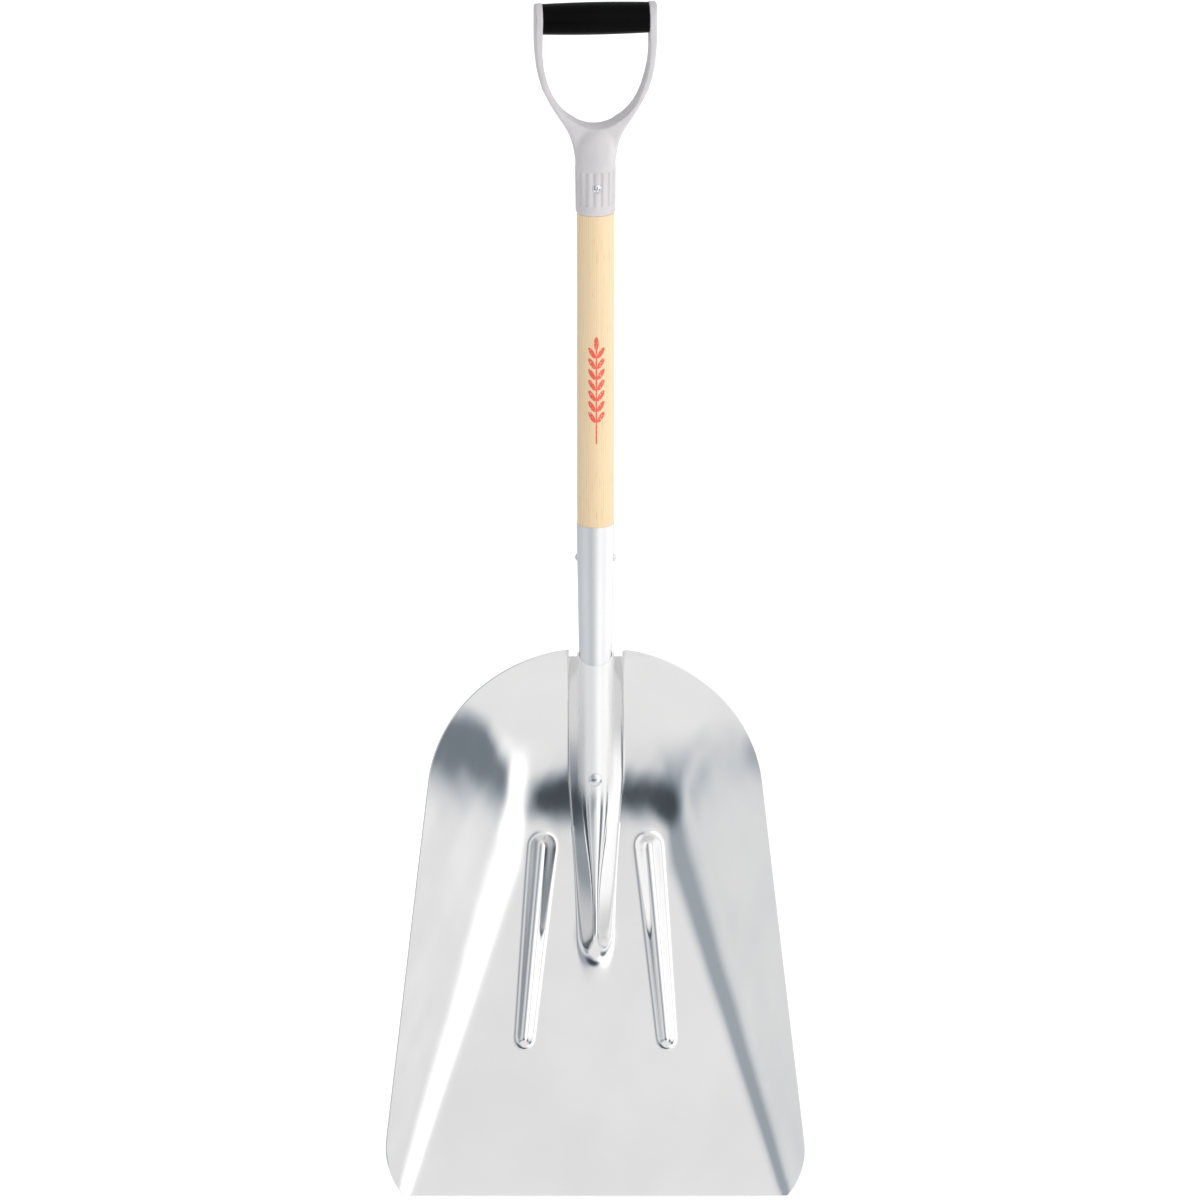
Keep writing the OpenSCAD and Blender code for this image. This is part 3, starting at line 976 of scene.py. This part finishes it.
    def _cutters(self) -> list[bpy.types.Mesh]:
        """The shapes cut from the sheet: rim, notches, the socket's lap and the rivet.

        Returns:
            One closed mesh for each.
        """
        rim, far = self.length - self.rim_trim, self.length + 20 * MM
        near, out = self.notch
        lap = [(self.lap_w * math.cos(a), rim + self.lap * math.sin(a))
               for a in np.radians(np.linspace(180, 360, 33))]
        outlines = [
            [(-out, rim), (out, rim), (out, far), (-out, far)],
            [*lap, (self.lap_w, far), (-self.lap_w, far)],
        ]
        for side in (-1, 1):
            outlines.append([(side * near, rim - self.notch_depth),
                             (side * out, rim - self.notch_depth),
                             (side * out, far), (side * near, far)])
        blocks = []
        for outline in outlines:
            x, u = np.array(outline).T
            ends = [self.place(x, u, w + 0 * x) for w in self.cut_depth]
            blocks.append(prism(*[[Vector(p) for p in end] for end in ends]))
        head = Vector(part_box("frog_rivet")[1])
        foot = Vector(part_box("frog_rivet")[0])
        height = (head.z + foot.z) / 2
        seat = foot.y + self.rivet_head
        for radius, deep in ((self.rivet_hole_r, 0.0), (self.rivet_seat_r, seat)):
            ring = [(radius * math.cos(a), height + radius * math.sin(a))
                    for a in np.linspace(0, 2 * math.pi, 48, endpoint=False)]
            blocks.append(prism([Vector((a, -0.2, b)) for a, b in ring],
                                [Vector((a, deep, b)) for a, b in ring]))
        return blocks

    @staticmethod
    def _round(ring: Array) -> Array:
        """Steps along a closed ring whose last point repeats its first."""
        step = np.roll(ring[:-1], -1) - np.roll(ring[:-1], 1)
        return np.append(step, step[0])

    def _outward(self, step: Array) -> Array:
        """Turns steps in the floor's plane into the model's frame."""
        s, c = math.sin(self.lift), math.cos(self.lift)
        return np.stack([step[:, 0], step[:, 1] * s, step[:, 1] * c], -1)


# ---------------------------------------------------------------- shaft, socket and fasteners


@dataclass
class ShaftAndSocket:
    """The wooden shaft, its aluminium socket and the rivets through both."""

    socket: SheetAluminium = SheetAluminium(
        "brushed_aluminium", tint=(0.95, 0.945, 0.95), rough=0.50, clouds=0.05)
    wood: AshWood = AshWood()
    rivet: BrightZinc = BrightZinc("rivet_metal", rough=0.24)

    def dress(self) -> None:
        """Gives the CAD nodes their finishes."""
        dress_nodes({
            "wood_shaft": self.wood.make(),
            "socket_tube": self.socket.make(),
        })
        metal = self.rivet.make()
        dress_nodes({n: metal for n in ("socket_rivet", "frog_rivet", "frog_rivet_washer")})


def dress_nodes(finishes: dict[str, bpy.types.Material]) -> None:
    """Swaps the materials of CAD nodes that stay.

    Args:
        finishes: CAD node to material.
    """
    for node, finish in finishes.items():
        shown = frame["nodes"][node]
        if not shown.material_slots:
            shown.data.materials.append(finish)
        for place in shown.material_slots:
            place.material = finish
        LOG.info("%s dressed in %s", node, finish.name)


# ---------------------------------------------------------------- the grip


@dataclass
class DGrip:
    """The moulded yoke, the soft sleeve on its bar, and the screw that holds it."""

    voxel: float = 0.75 * MM
    rounds: int = 5
    neck: tuple[float, float, int] = (-118.5 * MM, -79 * MM, 26)
    plastic: MouldedPlastic = MouldedPlastic(
        "grey_plastic", colour=(0.555, 0.53, 0.54), shade=(0.48, 0.46, 0.47))
    rubber: MouldedPlastic = MouldedPlastic(
        "soft_black", colour=(0.0012, 0.0012, 0.0012), shade=(0.002, 0.002, 0.002),
        rough=0.30, grain=0.00003, shine=0.045)
    screw: BrightZinc = BrightZinc("zinc_screw", rough=0.14)

    def build(self) -> None:
        """Builds the yoke and dresses the sleeve and the screw."""
        mesh = softened("grip_yoke", "yoke", self.voxel, self.rounds, self.neck)
        add_piece("yoke", mesh, self.plastic.make(), "grip_yoke")
        dress_nodes({"hand_grip": self.rubber.make(), "grip_screw": self.screw.make()})


# ---------------------------------------------------------------- studio


@dataclass(frozen=True)
class Card:
    """A soft-edged panel far from the tool that the metal mirrors; angles in degrees.

    Azimuth runs from straight ahead of the pan towards +X.
    """

    azimuth: float
    elevation: float
    half_width: float
    half_height: float
    tone: float


@dataclass
class Studio:
    """A pale floor, soft light from the right, and the camera."""

    azimuth: float = 0.0
    elevation: float = 18.0
    distance: float = 7.1
    frame_width: float = 1.098
    aim: tuple[float, float, float] = (0.0041, 0.0, -0.540)
    shift_down: float = 0.0081
    tones: tuple[tuple[float, float], ...] = (
        (-180, 0.80), (-150, 0.72), (-130, 0.58), (-110, 0.52), (-90, 0.58), (-75, 0.74),
        (-62, 0.88), (-50, 0.80), (-38, 0.46), (-20, 0.46), (-10, 0.80), (0, 0.94),
        (9, 1.02), (19, 1.55), (46, 1.55), (56, 1.05), (64, 0.90), (85, 1.35), (112, 1.30),
        (135, 1.00), (155, 0.80), (180, 0.80))
    low_tone: float = 0.97
    top_tone: float = 0.95
    cool_below: float = 0.9
    cool: Rgb = (0.74, 0.95, 1.16)
    lamp_place: tuple[float, float, float] = (3.4, -2.2, 1.0)
    lamp_aim: tuple[float, float, float] = (0, 0, -0.6)
    lamp_size: tuple[float, float] = (2.0, 2.6)
    lamp_power: float = 46.0
    cards: tuple[Card, ...] = (
        Card(-13, -14, 38, 15, 0.08),
        Card(53, -27, 18, 19, 0.24),
        Card(-66, -24, 17, 13, 0.46),
        Card(0, 19, 9, 9, 0.94),
        Card(77, 4, 16, 17, 1.60),
    )

    def build(self) -> None:
        """Builds the floor, the light and the camera."""
        self._floor()
        self._world()
        self._lamp()
        self._camera()
        bpy.context.scene.view_settings.view_transform = "Standard"

    def _floor(self) -> None:
        """A pale disc under the lip, far wider than the view."""
        low = CAD_BOX[0].z - 3 * MM
        count = 96
        ring = [Vector((30 * math.cos(a), 30 * math.sin(a), low)) for a in
                (2 * math.pi * i / count for i in range(count))]
        mesh = bpy.data.meshes.new("floor")
        mesh.from_pydata([p[:] for p in ring], [], [tuple(range(count))])
        paint = Paint("pale_floor")
        x, y, z = paint.place()
        tone = paint.noise(paint.vector(x, y, z), 1.5, 2.0)
        paint.surface(Base_Color=paint.blend(tone, (0.80, 0.80, 0.80), (0.82, 0.82, 0.82)),
                      Roughness=0.9, Emission_Color=(1.0, 1.0, 1.0), Emission_Strength=0.46,
                      Specular_IOR_Level=0.0)
        mesh.materials.append(paint.material)
        floor = bpy.data.objects.new("floor", mesh)
        floor.visible_glossy = False
        bpy.context.scene.collection.objects.link(floor)

    def _world(self) -> None:
        """Soft light all round: pale in front, white strips beside it, greyer gaps between."""
        world = bpy.data.worlds.new("studio")
        bpy.context.scene.world = world
        sky = Nodes(world)
        where = sky.node("ShaderNodeTexCoord").outputs["Generated"]
        split = sky.node("ShaderNodeSeparateXYZ", None, {0: where})
        x, y, z = (Val(sky, split.outputs[i]) for i in range(3))
        azimuth = x.bearing(0.0 - y) * math.degrees(1)
        elevation = z.angle() * math.degrees(1)
        ring = sky.node("ShaderNodeValToRGB", {"stops": [
            (0.5 + angle / 360, (tone / 2,) * 3) for angle, tone in self.tones]},
            {0: azimuth / 360 + 0.5})
        light = Val(sky, ring.outputs[0]) * 2.0
        light = light + (self.low_tone - light) * elevation.step(-24.0, -42.0)
        light = light + (self.top_tone - light) * elevation.step(30.0, 60.0)
        for card in self.cards:
            side = (azimuth - card.azimuth) / card.half_width
            up = (elevation - card.elevation) / card.half_height
            light = light + (card.tone - light) * (side * side + up * up).root().step(1.0, 0.35)
        dim = (self.cool_below - light).clip()
        tint = sky.node("ShaderNodeMix", {"data_type": "RGBA"}, {
            0: dim, 6: (1.0, 1.0, 1.0), 7: self.cool})
        glow = sky.node("ShaderNodeBackground", None, {0: tint.outputs[2], 1: light})
        sky.node("ShaderNodeOutputWorld", None, {0: glow.outputs[0]})

    def _lamp(self) -> None:
        """Adds one soft rectangular lamp, which the metal doesn't mirror."""
        lamp = bpy.data.lights.new("key", "AREA")
        lamp.shape, lamp.energy = "RECTANGLE", self.lamp_power
        lamp.size, lamp.size_y = self.lamp_size
        shown = bpy.data.objects.new("key", lamp)
        shown.visible_glossy = False
        shown.location = self.lamp_place
        facing = Vector(self.lamp_aim) - Vector(self.lamp_place)
        shown.rotation_euler = facing.to_track_quat("-Z", "Y").to_euler()
        bpy.context.scene.collection.objects.link(shown)

    def _camera(self) -> None:
        """Adds the camera."""
        a, e = math.radians(self.azimuth), math.radians(self.elevation)
        back = Vector((math.sin(a) * math.cos(e), -math.cos(a) * math.cos(e), math.sin(e)))
        turn = (-back).to_track_quat("-Z", "Y")
        lens = bpy.data.cameras.new("camera")
        lens.sensor_width = 36.0
        lens.lens = lens.sensor_width * self.distance / self.frame_width
        lens.clip_end = 100.0
        camera = bpy.data.objects.new("camera", lens)
        target = Vector(self.aim) + turn @ Vector((0, self.shift_down, 0))
        camera.location = target + back * self.distance
        camera.rotation_mode = "QUATERNION"
        camera.rotation_quaternion = turn
        bpy.context.scene.collection.objects.link(camera)
        bpy.context.scene.camera = camera


def main() -> None:
    """Builds the tool piece by piece, then the studio."""
    logging.basicConfig(level=logging.INFO, format="%(message)s")
    pan = ScoopPan()
    sheet = SheetAluminium("polished_aluminium", line_tilt=pan.lift, wear=0.6, satin=0.36)
    pan.build(sheet.make())
    ShaftAndSocket().dress()
    DGrip().build()
    Studio().build()


if __name__ == "__main__":
    main()
